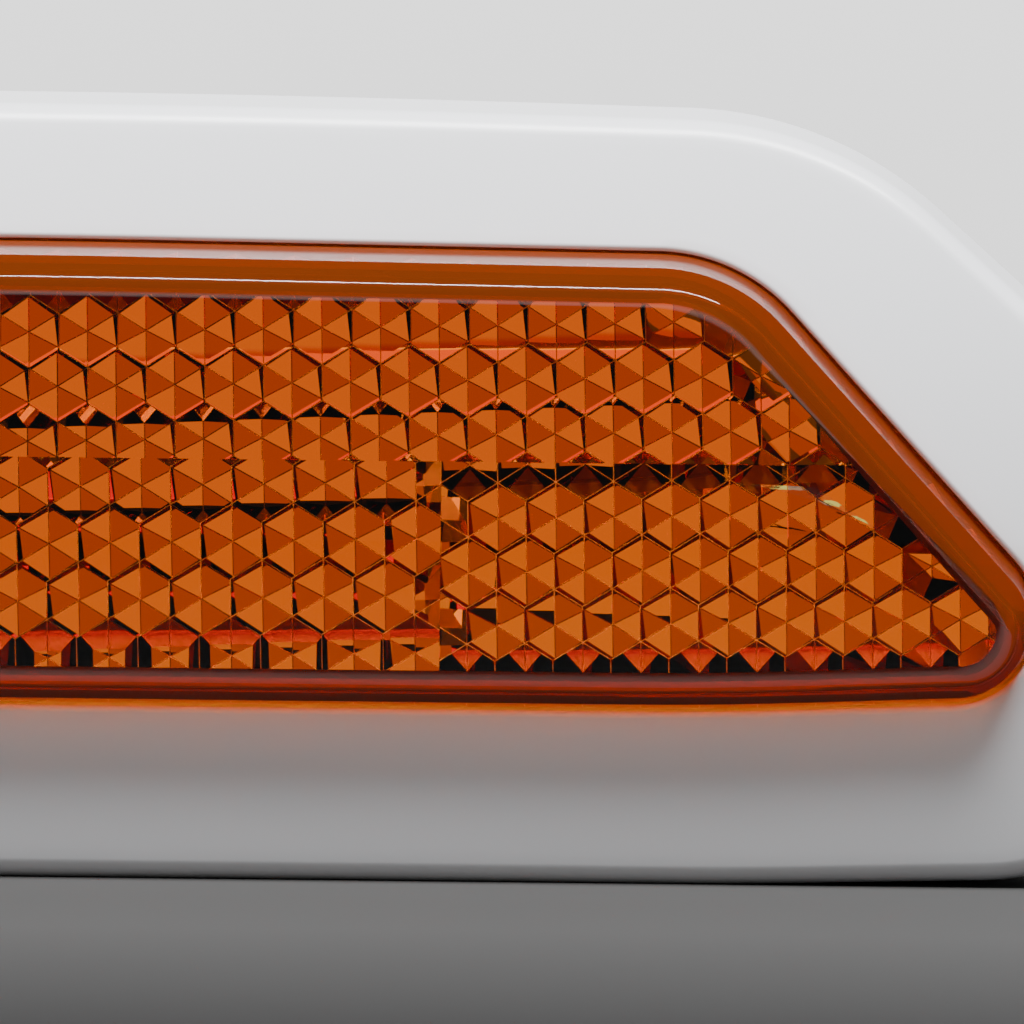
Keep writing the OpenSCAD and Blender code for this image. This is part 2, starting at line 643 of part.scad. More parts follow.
module reflector() {
    rear = bowl_vertex + bowl_hole_r * bowl_hole_r / bowl_focal / 4;
    color(steel) upright() difference() {
        union() {
            slab(reflector_face - reflector_t, reflector_face)
                polygon(lens_outline(skirt + loose_gap * evenly));
            intersection() {
                paraboloid(reflector_t);
                slab(rear, reflector_face) square([2 * bowl_r + 6, 2 * (bowl_half_h + reflector_t)], center = true);
            }
        }
        intersection() {
            paraboloid(0);
            slab(rear - 1, reflector_face + 2) square([2 * bowl_r + 8, 2 * bowl_half_h], center = true);
        }
        bore(bowl_hole_r, rear - 1, rear + 2);
        for (x = [-post_x, post_x], y = [-post_y, post_y]) translate([x, y])
            bore(stake_r + close_gap / 2, reflector_face - 2 * reflector_t, reflector_face + 1);
    }
}

// Wedge bulb: a blown glass envelope pinched into a flat base, two lead-in wires and the coil
glass_foot = -(bulb_base - wedge_l);

module envelope(grow) {
    r = bulb_r - grow;
    shoulder_at = glass_foot + 2.5;
    rotate_extrude($fn = 64) polygon(concat([[0, glass_foot + grow], [wedge_t, glass_foot + grow]],
        [for (a = [-60:15:0]) [r - (r - wedge_t) * (1 - cos(a)) / (1 - cos(60)), shoulder_at + 2 * sin(a) / sin(60)]],
        [for (a = [0:15:90]) [r * cos(a), bulb_tip - grow - r * (1 - sin(a))]]));
}

module lead_wires() {
    for (side = [-1, 1]) {
        translate([side * lead_x, 0]) bore(lead_r, -bulb_base - lead_r, focus);
        translate([side * lead_x, 0, -bulb_base - lead_r]) rotate([0, side * 90, 0])
            cylinder(h = blade_x - lead_x + lead_r, r = lead_r, $fn = 24);
        translate([side * blade_x, 0, -bulb_base - lead_r]) rotate([90, 0, 0])
            translate([0, 0, -wedge_t / 2 - lead_r])
                cylinder(h = wedge_t + 2 * lead_r, r = lead_r, $fn = 24);
        for (face = [-1, 1]) translate([side * blade_x, face * (wedge_t / 2 + lead_r)])
            bore(lead_r, -bulb_base - lead_r, -bulb_base + wedge_l * 0.6);
    }
}

module bulb_glass() {
    color([0.85, 0.9, 0.95, 0.5]) upright() difference() {
        union() {
            envelope(0);
            translate([-wedge_w / 2, -wedge_t / 2, -bulb_base]) cube([wedge_w, wedge_t, wedge_l + 0.8]);
        }
        difference() {
            envelope(glass_t);
            translate([-wedge_w, -wedge_t, glass_foot - 1]) cube([2 * wedge_w, 2 * wedge_t, 2]);
        }
        for (side = [-1, 1]) translate([side * lead_x, 0]) bore(lead_r, -bulb_base - 1, focus);
    }
}

module bulb_lead_wires() {
    color(steel) upright() lead_wires();
}

module bulb_filament() {
    color(steel) upright() translate([-lead_x + lead_r, 0, focus - lead_r]) rotate([0, 90, 0])
        cylinder(h = 2 * (lead_x - lead_r), r = filament_r, $fn = 32);
}

// Bulb holder: neck, bayonet lugs, flange and grip, with the connector shroud moulded on
contact_slot_w = blade_w + 2 * close_gap;
spring_half = wedge_t / 2 + 2 * lead_r + spring_t;
lug_top = -pod_depth + close_gap + lug_t;

module bulb_holder() {
    color(black) upright() difference() {
        union() {
            bore(socket_r - 0.2, -grip_front, lug_top + neck_rim);
            bore(holder_flange_r, -grip_front, -flange_front);
            for (k = [0:2]) rotate([0, 0, 120 * k + lug_turn]) lug_sector(lug_r, lug_angle, lug_top - lug_t, lug_top);
            translate([-shroud_w / 2, -shroud_h / 2, -shroud_end]) cube([shroud_w, shroud_h, shroud_end - grip_front + 0.5]);
            for (side = [-1, 1]) translate([side * shroud_w / 2 - 1, -shroud_h * 0.3, -shroud_floor])
                cube([2, shroud_h * 0.6, grip_l]);
        }
        bore(bulb_r + loose_gap, glass_foot - loose_gap, 0);
        translate([-wedge_w / 2 - 0.3, -spring_half - close_gap, -slot_floor])
            cube([wedge_w + 0.6, 2 * (spring_half + close_gap), slot_floor]);
        translate([-shroud_w / 2 + shroud_t, -shroud_h / 2 + shroud_t, -shroud_end - 1])
            cube([shroud_w - 2 * shroud_t, shroud_h - 2 * shroud_t, shroud_l + 1]);
        for (side = [-1, 1]) translate([side * blade_x - contact_slot_w / 2, -blade_t / 2, -shroud_floor - 1])
            cube([contact_slot_w, blade_t, shroud_floor - slot_floor + 2]);
    }
}

module holder_seal() {
    color(black) upright() translate([0, 0, -flange_front]) difference() {
        bore(holder_seal_r, 0, holder_seal_t);
        bore(socket_r, -1, holder_seal_t + 1);
    }
}

// Contact: two spring arms that grip the bulb's base, and the blade in the shroud
module contact(side) {
    arm_end = bulb_base - wedge_l * 0.75;
    color(brass) upright() translate([side * blade_x - blade_w / 2, 0, 0])
        rotate([90, 0, 90]) linear_extrude(blade_w) polygon([
            [-spring_half, -arm_end], [-spring_half, -slot_floor], [-blade_t / 2, -slot_floor],
            [-blade_t / 2, -shroud_end + 2.5], [-blade_t / 4, -shroud_end + 2],
            [blade_t / 4, -shroud_end + 2], [blade_t / 2, -shroud_end + 2.5],
            [blade_t / 2, -slot_floor], [spring_half, -slot_floor], [spring_half, -arm_end],
            [spring_half - spring_t, -arm_end], [spring_half - spring_t, -slot_floor + spring_t],
            [-spring_half + spring_t, -slot_floor + spring_t], [-spring_half + spring_t, -arm_end]]);
}

// Vent cap: a soft cup over the spigot, open through a slot in its end
module vent_cap() {
    root = -tub_depth - tub_wall - loose_gap;
    tip = -tub_depth - tub_wall - vent_l - 1.6;
    color(black) upright() translate([vent_x, 0]) difference() {
        union() {
            bore(vent_r + cap_t, tip, root);
            bore(vent_r + cap_rim, root - cap_t, root);
        }
        bore(vent_r, -tub_depth - tub_wall - vent_l - 0.4, root + 1);
        translate([-0.4, -vent_r * 0.7, tip - 1]) cube([0.8, vent_r * 1.4, 3]);
    }
}

// Panel seal: a die-cut sheet of foam over the rear plate, flush with the seat
module panel_seal() {
    color([0.16, 0.16, 0.17]) upright() slab(0, plate_recess) difference() {
        polygon(bezel_outline(bezel_wall + loose_gap + 0.2));
        racetrack(tub_r + tub_wall + 0.4, tub_half_h + tub_wall + 0.4);
        for (side = [-1, 1]) translate([side * fixing_spacing / 2, 0]) circle(r = boss_r + loose_gap, $fn = 48);
        for (p = screw_places) translate(p) circle(r = screw_head_r + loose_gap, $fn = 32);
    }
}

module threaded_insert(side) {
    color(brass) upright() translate([side * fixing_spacing / 2, 0]) difference() {
        bore(insert_r, 0, insert_l);
        bore(fixing_bore_r, -1, insert_l + 1);
    }
}

// Self-tapping screw: a pan head with a cross recess, and a plain shank
module case_screw(place) {
    color(steel) upright() translate([place[0], place[1], plate_recess]) difference() {
        union() {
            bore(screw_r, -0.2, screw_l);
            rotate_extrude($fn = 48) polygon([[0, 0], [screw_head_r, 0], [screw_head_r, -screw_head_h * 0.4],
                [screw_head_r * 0.85, -screw_head_h * 0.8], [screw_head_r * 0.5, -screw_head_h], [0, -screw_head_h]]);
        }
        for (a = [0, 90]) rotate([0, 0, a])
            translate([-screw_head_r * 0.55, -0.2, -screw_head_h - 1]) cube([screw_head_r * 1.1, 0.4, 1.7]);
    }
}

bezel();
lens();
lens_seal();
lamp_body();
reflector();
bulb_glass();
bulb_filament();
bulb_lead_wires();
bulb_holder();
holder_seal();
contact(1);  // contact_positive
contact(-1);  // contact_ground
vent_cap();
panel_seal();
threaded_insert(-1);  // threaded_insert_left
threaded_insert(1);  // threaded_insert_right
case_screw(screw_places[0]);  // case_screw_upper_left
case_screw(screw_places[1]);  // case_screw_lower_left
case_screw(screw_places[2]);  // case_screw_upper_right
case_screw(screw_places[3]);  // case_screw_lower_right
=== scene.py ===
# Side marker lamp: looks of a white bezel with an amber lens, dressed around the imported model.
import math

import bmesh
import bpy
from mathutils import Matrix, Vector


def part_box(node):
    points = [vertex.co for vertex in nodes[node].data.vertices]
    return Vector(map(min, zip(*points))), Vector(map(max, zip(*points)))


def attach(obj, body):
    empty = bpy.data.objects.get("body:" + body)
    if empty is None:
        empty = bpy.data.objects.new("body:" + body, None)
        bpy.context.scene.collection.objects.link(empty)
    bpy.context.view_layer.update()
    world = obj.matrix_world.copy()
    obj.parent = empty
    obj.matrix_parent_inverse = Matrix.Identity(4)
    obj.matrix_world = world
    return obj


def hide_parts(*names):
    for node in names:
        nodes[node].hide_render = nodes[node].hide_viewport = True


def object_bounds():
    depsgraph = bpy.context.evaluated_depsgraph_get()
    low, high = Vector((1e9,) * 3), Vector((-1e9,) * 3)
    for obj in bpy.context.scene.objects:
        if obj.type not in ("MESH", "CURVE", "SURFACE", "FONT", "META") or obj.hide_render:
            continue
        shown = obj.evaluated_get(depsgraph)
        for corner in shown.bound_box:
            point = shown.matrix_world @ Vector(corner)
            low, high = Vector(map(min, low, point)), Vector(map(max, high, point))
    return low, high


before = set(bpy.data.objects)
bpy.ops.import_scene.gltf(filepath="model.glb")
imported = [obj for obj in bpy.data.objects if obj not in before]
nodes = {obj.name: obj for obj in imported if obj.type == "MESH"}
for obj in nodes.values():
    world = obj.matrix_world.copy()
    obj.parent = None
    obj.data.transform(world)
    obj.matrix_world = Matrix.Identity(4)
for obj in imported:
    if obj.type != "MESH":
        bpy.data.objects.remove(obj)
cad_box = [list(corner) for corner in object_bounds()]
mm = 0.001

# Camera: a long lens, well away and slightly above the lamp, turned a little so that the long
# edges fall to the right. It frames the right-hand end of the lens and its corner of the bezel.
view_middle = Vector((24.5, -15.0, -1.5)) * mm
view_rise = math.radians(2.6)
view_roll = math.radians(0.66)
view_distance = 1.6
view_width = 46.08 * mm
towards_camera = Vector((0, -math.cos(view_rise), math.sin(view_rise)))
camera_data = bpy.data.cameras.new("camera")
camera = bpy.data.objects.new("camera", camera_data)
bpy.context.scene.collection.objects.link(camera)
camera.rotation_euler = (
    towards_camera.to_track_quat("Z", "Y").to_matrix() @ Matrix.Rotation(view_roll, 3, "Z")
).to_euler()
camera.location = view_middle + towards_camera * view_distance
camera_data.sensor_width = 36
camera_data.lens = 36 * view_distance / view_width
camera_data.clip_start = 0.1
camera_data.clip_end = 30
bpy.context.scene.camera = camera


# Studio: a small paper-covered shooting table, a pale backdrop far behind, a soft light above the
# lamp and a weak one at its side, and tall strip lights beside the camera for the reflex pins.
def lay_material(piece, material):
    piece.data.materials.clear()
    piece.data.materials.append(material)


def new_material(name, colour, roughness, metallic=0.0):
    material = bpy.data.materials.new(name)
    material.use_nodes = True
    shader = material.node_tree.nodes["Principled BSDF"]
    shader.inputs["Base Color"].default_value = (*colour, 1)
    shader.inputs["Roughness"].default_value = roughness
    shader.inputs["Metallic"].default_value = metallic
    return material, material.node_tree, shader


def ranged(tree, value, start, end, low, high):
    span = tree.nodes.new("ShaderNodeMapRange")
    span.inputs["From Min"].default_value = start
    span.inputs["From Max"].default_value = end
    span.inputs["To Min"].default_value = low
    span.inputs["To Max"].default_value = high
    tree.links.new(value, span.inputs["Value"])
    return span


def worked_out(tree, operation, *values):
    step = tree.nodes.new("ShaderNodeMath")
    step.operation = operation
    for socket, value in zip(step.inputs, values):
        if isinstance(value, (int, float)):
            socket.default_value = value
        else:
            tree.links.new(value, socket)
    return step


def along(tree):
    """The place on the piece, as its three distances in metres."""
    place = tree.nodes.new("ShaderNodeTexCoord")
    split = tree.nodes.new("ShaderNodeSeparateXYZ")
    tree.links.new(place.outputs["Object"], split.inputs[0])
    return split.outputs


table_low, table_high = Vector((-0.26, -0.158)), Vector((0.30, 0.24))
table_top = cad_box[0][2]
table_thickness = 0.012
bpy.ops.mesh.primitive_cube_add(size=1, location=(
    (table_low.x + table_high.x) / 2, (table_low.y + table_high.y) / 2, table_top - table_thickness / 2))
table = bpy.context.object
table.name = "shooting_table"
table.scale = (table_high.x - table_low.x, table_high.y - table_low.y, table_thickness)
bpy.ops.object.transform_apply(location=True, rotation=True, scale=True)
table_paper, tree, shader = new_material("table_paper", (0.2, 0.2, 0.2), 0.9)
shader.inputs["Specular IOR Level"].default_value = 0.1
# The paper's colour is painted darker towards the front: painted shade standing in for the soft light
# falling off away from the lamp.
table_front, table_back = (-0.15, 0.006), (-0.05, 0.043)
painted_falloff = ranged(tree, along(tree)["Y"], table_front[0], table_back[0], table_front[1], table_back[1])
tree.links.new(painted_falloff.outputs["Result"], shader.inputs["Base Color"])
lay_material(table, table_paper)

world = bpy.data.worlds.new("studio")
bpy.context.scene.world = world
world.use_nodes = True
tree = world.node_tree
background = tree.nodes["Background"]
direction = tree.nodes.new("ShaderNodeTexCoord")
split = tree.nodes.new("ShaderNodeSeparateXYZ")
tree.links.new(direction.outputs["Generated"], split.inputs[0])
paling = ranged(tree, split.outputs["Z"], -0.058, -0.031, 1.25, 1.9)
backdrop = ranged(tree, split.outputs["Y"], 0.8, 0.97, 0.12, 1)
tree.links.new(paling.outputs["Result"], backdrop.inputs["To Max"])
tree.links.new(backdrop.outputs["Result"], background.inputs["Color"])


def light(name, place, size, radiance, target, colour=(1, 1, 1)):
    lamp = bpy.data.lights.new(name, "AREA")
    lamp.shape = "RECTANGLE"
    lamp.size, lamp.size_y = size
    lamp.energy = radiance * math.pi * size[0] * size[1]
    lamp.color = colour
    holder = bpy.data.objects.new(name, lamp)
    holder.location = place
    holder.rotation_euler = (Vector(place) - target).to_track_quat("Z", "Y").to_euler()
    bpy.context.scene.collection.objects.link(holder)
    return holder


soft_top_place, soft_side_place = Vector((-0.05, -0.31, 0.79)), Vector((-0.7, -0.6, 0.12))
soft_top = light("soft_top_light", view_middle + soft_top_place, (0.8, 0.28), 47, view_middle)
light("soft_side_light", view_middle + soft_side_place, (0.5, 0.8), 2.2, view_middle)

# The clear pins would show the soft light as white chevrons, so a ray that comes straight through
# the lens finds it dimmer. A ray that a dull surface has scattered still finds it in full.
soft_top.data.use_nodes = True
tree = soft_top.data.node_tree
path = tree.nodes.new("ShaderNodeLightPath")
through = worked_out(
    tree, "MULTIPLY_ADD", path.outputs["Diffuse Depth"], -100, path.outputs["Transmission Depth"])
through.use_clamp = True
softened = ranged(tree, through.outputs[0], 0, 1, 1, 0.035)
tree.links.new(softened.outputs["Result"], tree.nodes["Emission"].inputs["Strength"])

strip_foot, strip_head = -0.40, 0.55
for name, start, end, colour in (
    ("inner_left_strip", -0.084, -0.049, (0.74, 0.58, 0.01)),
    ("outer_left_strip", -0.2, -0.086, (0.5, 0.36, 0.01)),
    ("inner_right_strip", 0.049, 0.084, (0.36, 0.13, 0.01)),
    ("outer_right_strip", 0.086, 0.2, (0.42, 0.2, 0.02)),
):
    place = camera.location + Vector(((start + end) / 2, 0, (strip_foot + strip_head) / 2))
    ahead = Vector((place.x, 0, place.z))
    light(name, place, (end - start, strip_head - strip_foot), 1.0, ahead, colour)


# Bezel: one moulding in white plastic, a hollow frame with a crowned face and a window. It is
# drawn out ring by ring, each ring being the outline of the real edge set in by some width.
def crossing(p, q):
    k = math.sin(q[0] - p[0])
    return Vector((
        (p[1] * math.sin(q[0]) - q[1] * math.sin(p[0])) / k,
        (q[1] * math.cos(p[0]) - p[1] * math.cos(q[0])) / k))


def outline(edges, radii, by, arc_steps, straight_steps):
    n = len(edges)
    by = by if isinstance(by, (list, tuple)) else [by] * n
    lines = [(math.radians(a), d - by[i]) for i, (a, d) in enumerate(edges)]

    def turn(i):
        return (lines[(i + 1) % n][0] - lines[i][0]) % (2 * math.pi)

    wished = []
    for i in range(n):
        a, b = by[i], by[(i + 1) % n]
        wished.append(max(0.2, radii[i] - max(a, b) - abs(a - b)))
    rooms = []
    for i in range(n):
        here, after = lines[i], lines[(i + 1) % n]
        length = (crossing(here, after) - crossing(lines[i - 1], here)).length
        need = wished[i - 1] * math.tan(turn(i - 1) / 2) + wished[i] * math.tan(turn(i) / 2)
        rooms.append(min(1, 0.995 * length / need))
    corners = []
    for i in range(n):
        p, q, t = lines[i], lines[(i + 1) % n], turn(i)
        r = wished[i] * min(rooms[i], rooms[(i + 1) % n])
        middle = p[0] + t / 2
        centre = crossing(p, q) - Vector((math.cos(middle), math.sin(middle))) * (r / math.cos(t / 2))
        steps = arc_steps[i]
        corners.append([
            centre + Vector((math.cos(p[0] + t * k / steps), math.sin(p[0] + t * k / steps))) * r
            for k in range(steps + 1)])
    points = []
    for i in range(n):
        points += corners[i]
        start, end = corners[i][-1], corners[(i + 1) % n][0]
        steps = straight_steps[(i + 1) % n]
        points += [start.lerp(end, k / steps) for k in range(1, steps)]
    return points


def edge_through(angle, x, y):
    a = math.radians(angle)
    return (angle, x * math.cos(a) + y * math.sin(a))


def crest(top, radius, slope):
    return top + radius * (1 / math.cos(math.radians(slope)) - 1)


def sag(radius, d):
    return radius - math.sqrt(radius * radius - d * d)


bezel_left, bezel_right, bezel_top, bezel_bottom = 58, 55.7, 16.7, 18.4
bezel_crest_r, bezel_top_slope = 1225, 1.2
bezel_crest = crest(bezel_top, bezel_crest_r, bezel_top_slope)
bezel_edges = [
    (0, bezel_right), edge_through(90 - 41.7, 47.55, 8.4),
    edge_through(90 - bezel_top_slope, 0, bezel_crest),
    edge_through(90 + bezel_top_slope, 0, bezel_crest), (180, bezel_left), (270, bezel_bottom),
    edge_through(270 + 1.6, 34.6, -bezel_bottom)]
bezel_radii = [9, 17.6, bezel_crest_r, 9, 9, 200, 10]
bezel_wall, bezel_depth, bezel_crown_r = 2.2, 14.4, 55
bezel_middle = (bezel_top - bezel_bottom) / 2
arc_steps = [16, 20, 8, 20, 20, 4, 20]
straight_steps = [6, 16, 6, 6, 10, 8, 6]
lens_left, lens_right, lens_half_h, lens_crest_r, lens_top_slope = 48.3, 48.1, 10.4, 910, 0.6
lens_crest = crest(lens_half_h, lens_crest_r, lens_top_slope)
lens_edges = [
    (0, lens_right), edge_through(90 - 47.4, 46.57, -3),
    edge_through(90 - lens_top_slope, 0, lens_crest),
    edge_through(90 + lens_top_slope, 0, lens_crest), (180, lens_left), (270, lens_half_h),
    edge_through(270 + 2.4, 33.7, -lens_half_h)]
lens_radii = [3.9, 8.2, lens_crest_r, 3.9, 3.9, 200, 3.9]
window_gap = 0.12


def bezel_line(by):
    return outline(bezel_edges, bezel_radii, by, arc_steps, straight_steps)


def lens_line(by):
    return outline(lens_edges, lens_radii, by, arc_steps, straight_steps)


def window_line(by):
    return lens_line(by - window_gap)


def bezel_face(y):
    return bezel_depth - sag(bezel_crown_r, y - bezel_middle)


def flat_ring(points, height):
    return [(p.x, p.y, height) for p in points]


def crowned_ring(points, face, drop):
    return [(p.x, p.y, face(p.y) - drop) for p in points]


def mixed(a, b, t):
    return [p.lerp(q, t) for p, q in zip(a, b)]


def upright(point):
    return Vector((point[0], -point[2], point[1])) * mm


def drawn_out(name, rings, closed):
    """A skin drawn out from ring to ring, and from the last back to the first where it is closed."""
    mesh = bpy.data.meshes.new(name)
    piece = bpy.data.objects.new(name, mesh)
    bpy.context.scene.collection.objects.link(piece)
    n = len(rings[0])
    points = [upright(p) for ring in rings for p in ring]
    faces = []
    for j in range(len(rings) if closed else len(rings) - 1):
        low, high = j * n, (j + 1) % len(rings) * n
        faces += [(low + i, high + i, high + (i + 1) % n, low + (i + 1) % n) for i in range(n)]
    mesh.from_pydata(points, [], faces)
    return piece


def only(piece):
    bpy.ops.object.select_all(action="DESELECT")
    piece.select_set(True)
    bpy.context.view_layer.objects.active = piece


def joined(piece, other, operation):
    only(piece)
    cut = piece.modifiers.new("join", "BOOLEAN")
    cut.operation = operation
    cut.solver = "EXACT"
    cut.object = other
    bpy.ops.object.modifier_apply(modifier="join")
    bpy.data.objects.remove(other)


edge_r, draft_widths = 0.9, [0.15, 0.15, 0.15, 0.15, 0.15, 0, 0]


def drafted(by):
    return [by + d for d in draft_widths]


collar_end, collar_t, window_edge_r, rear_bevel = 8.1, 1.3, 0.3, 0.15
outside = bezel_line(drafted(edge_r))
inside = window_line(-window_edge_r)
cavity = bezel_line(bezel_wall)
collar = window_line(-collar_t)
rings = [flat_ring(bezel_line(rear_bevel), 0), flat_ring(bezel_line(0), rear_bevel)]
rings += [crowned_ring(
    bezel_line(drafted(edge_r * (1 - math.cos(math.radians(a))))), bezel_face,
    edge_r * (1 - math.sin(math.radians(a)))) for a in (0, 15, 30, 45, 60, 75)]
rings += [crowned_ring(mixed(outside, inside, t / 12), bezel_face, 0) for t in range(13)]
rings += [crowned_ring(
    window_line(-window_edge_r * (1 - math.sin(math.radians(a)))), bezel_face,
    window_edge_r * (1 - math.cos(math.radians(a)))) for a in (25, 50, 75)]
rings += [
    crowned_ring(window_line(0), bezel_face, window_edge_r), flat_ring(window_line(0), collar_end),
    flat_ring(collar, collar_end), crowned_ring(collar, bezel_face, bezel_wall),
    crowned_ring(mixed(collar, cavity, 0.5), bezel_face, bezel_wall),
    crowned_ring(cavity, bezel_face, bezel_wall), flat_ring(cavity, rear_bevel),
    flat_ring(bezel_line(bezel_wall - rear_bevel), 0)]
bezel = drawn_out("bezel_moulding", rings, True)
only(bezel)
bpy.ops.object.mode_set(mode="EDIT")
bpy.ops.mesh.select_all(action="SELECT")
bpy.ops.mesh.normals_make_consistent(inside=False)
bpy.ops.object.mode_set(mode="OBJECT")


def rod(name, spot, radius, low, high):
    bpy.ops.object.select_all(action="DESELECT")
    bpy.ops.mesh.primitive_cylinder_add(
        vertices=48, radius=radius * mm, depth=(high - low) * mm,
        location=upright((spot.x, spot.y, (low + high) / 2)), rotation=(math.pi / 2, 0, 0))
    bpy.ops.object.transform_apply(location=True, rotation=True, scale=True)
    bpy.context.object.name = name
    return bpy.context.object


rib_t, rib_places = 1.2, (-40, -20, 0, 20)
rib_head = bezel_face(bezel_bottom + bezel_middle) - bezel_wall / 2
rib_foot = collar_end + 0.02
collar_middle = lens_half_h + window_gap + collar_t / 2
rib_spans = (
    (collar_middle, bezel_top - bezel_wall / 2), (bezel_wall / 2 - bezel_bottom, -collar_middle))
for x in rib_places:
    for low, high in rib_spans:
        bpy.ops.object.select_all(action="DESELECT")
        middle = (x, (low + high) / 2, (rib_foot + rib_head) / 2)
        bpy.ops.mesh.primitive_cube_add(size=1, location=upright(middle))
        rib = bpy.context.object
        rib.scale = (rib_t * mm, (rib_head - rib_foot) * mm, (high - low) * mm)
        bpy.ops.object.transform_apply(location=True, rotation=True, scale=True)
        joined(bezel, rib, "UNION")
screw_boss_r, screw_hole_r, screw_boss_foot, screw_l = 2, 0.85, 3.5, 8
for screw in ("upper_left", "lower_left", "upper_right", "lower_right"):
    low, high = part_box("case_screw_" + screw)
    spot = Vector((low[0] + high[0], low[2] + high[2])) / 2 / mm
    boss_head = bezel_face(spot.y) - bezel_wall / 2
    joined(bezel, rod("boss", spot, screw_boss_r, screw_boss_foot, boss_head), "UNION")
    hole = rod("hole", spot, screw_hole_r, screw_boss_foot - 1, screw_boss_foot + screw_l)
    joined(bezel, hole, "DIFFERENCE")


def smoothed(piece):
    only(piece)
    bpy.ops.object.shade_smooth_by_angle(angle=math.radians(32))
    weighted = piece.modifiers.new("even_faces", "WEIGHTED_NORMAL")
    weighted.keep_sharp = True
    bpy.ops.object.modifier_apply(modifier="even_faces")


def add_grain(tree, shader, size, roughness, depth):
    """The fine unevenness that a tool or a die leaves in a surface: some of its shine and relief."""
    place = tree.nodes.new("ShaderNodeTexCoord")
    grain = tree.nodes.new("ShaderNodeTexNoise")
    grain.inputs["Scale"].default_value = 1 / size
    grain.inputs["Detail"].default_value = 3
    tree.links.new(place.outputs["Object"], grain.inputs["Vector"])
    uneven = ranged(tree, grain.outputs["Fac"], 0, 1, roughness * 0.85, roughness * 1.15)
    relief = tree.nodes.new("ShaderNodeBump")
    relief.inputs["Strength"].default_value = 0.3
    relief.inputs["Distance"].default_value = depth
    tree.links.new(grain.outputs["Fac"], relief.inputs["Height"])
    tree.links.new(uneven.outputs["Result"], shader.inputs["Roughness"])
    tree.links.new(relief.outputs["Normal"], shader.inputs["Normal"])


smoothed(bezel)
bezel_roughness = 0.32
white_plastic, tree, shader = new_material("white_plastic", (0.78, 0.79, 0.82), bezel_roughness)
shader.inputs["Coat Weight"].default_value = 0.15
shader.inputs["Coat Roughness"].default_value = 0.12
add_grain(tree, shader, 0.002, bezel_roughness, 0.00001)
lay_material(bezel, white_plastic)
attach(bezel, "root")
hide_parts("bezel")

# Lens: one moulding in clear amber acrylic. A crowned dome with a steep rim, a skirt and a
# flange, and on its back the reflex pins in three blocks, which show as triangles from the front.
lens_depth, lens_crown_r = 16.0, 90
pin_root = 13.4


def lens_face(y):
    return lens_depth - sag(lens_crown_r, y)


def by_edge(high, low):
    return [low, high, high, high, low, low, low]


def scaled(widths, k):
    return [w * k for w in widths]


shoulder, skirt = by_edge(1.5, 0.75), by_edge(2.45, 1.75)
lens_rear, flange_face, flange_w = 6.48, 8.0, 1.0
rim, plateau = lens_line(0), lens_line(shoulder)
ridge = [Vector((p.x * 0.8, 0)) for p in plateau]
rings = [
    flat_ring(lens_line(skirt), pin_root + 0.3), flat_ring(lens_line(skirt), lens_rear),
    flat_ring(lens_line(-flange_w), lens_rear), flat_ring(lens_line(-flange_w), flange_face),
    flat_ring(rim, flange_face)]
profile = [
    (0.0, 2.3), (0.01, 2.2), (0.19, 1.28), (0.372, 0.36), (0.6, 0.27), (0.82, 0.19),
    (0.985, 0.132), (0.995, 0.126), (1.012, 0.103), (1.022, 0.097), (1.15, 0.05), (1.45, 0.025)]
rings += [crowned_ring(lens_line(scaled(shoulder, k)), lens_face, drop) for k, drop in profile]
rings += [crowned_ring(mixed(plateau, ridge, t), lens_face, 0)
          for t in (0.1, 0.18, 0.28, 0.4, 0.52, 0.64, 0.76, 0.88, 0.97)]
lens = drawn_out("lens_moulding", rings, False)
only(lens)
bpy.ops.object.mode_set(mode="EDIT")
mesh = bmesh.from_edit_mesh(lens.data)
mesh.verts.ensure_lookup_table()
n = len(rim)
mesh.faces.new([mesh.verts[i] for i in range(n)])
last = (len(rings) - 1) * n
crown = mesh.verts.new(upright((0, 0, lens_face(0))))
mesh.verts.ensure_lookup_table()
for i in range(n):
    mesh.faces.new((mesh.verts[last + i], crown, mesh.verts[last + (i + 1) % n]))
bmesh.ops.remove_doubles(mesh, verts=mesh.verts, dist=1e-7)
bmesh.ops.triangulate(mesh, faces=[f for f in mesh.faces if len(f.verts) > 4])
bmesh.ops.recalc_face_normals(mesh, faces=mesh.faces)
bmesh.update_edit_mesh(lens.data)
bpy.ops.object.mode_set(mode="OBJECT")


def as_piece(name, mesh):
    """An object from a mesh that was built lying down, as the outlines are, in millimetres."""
    for v in mesh.verts:
        v.co = upright(v.co)
    bmesh.ops.recalc_face_normals(mesh, faces=mesh.faces)
    data = bpy.data.meshes.new(name)
    mesh.to_mesh(data)
    mesh.free()
    piece = bpy.data.objects.new(name, data)
    bpy.context.scene.collection.objects.link(piece)
    return piece


row_rise, pin_edge, slab_t, field_t = 0.025, 0.034, 1.5, 1


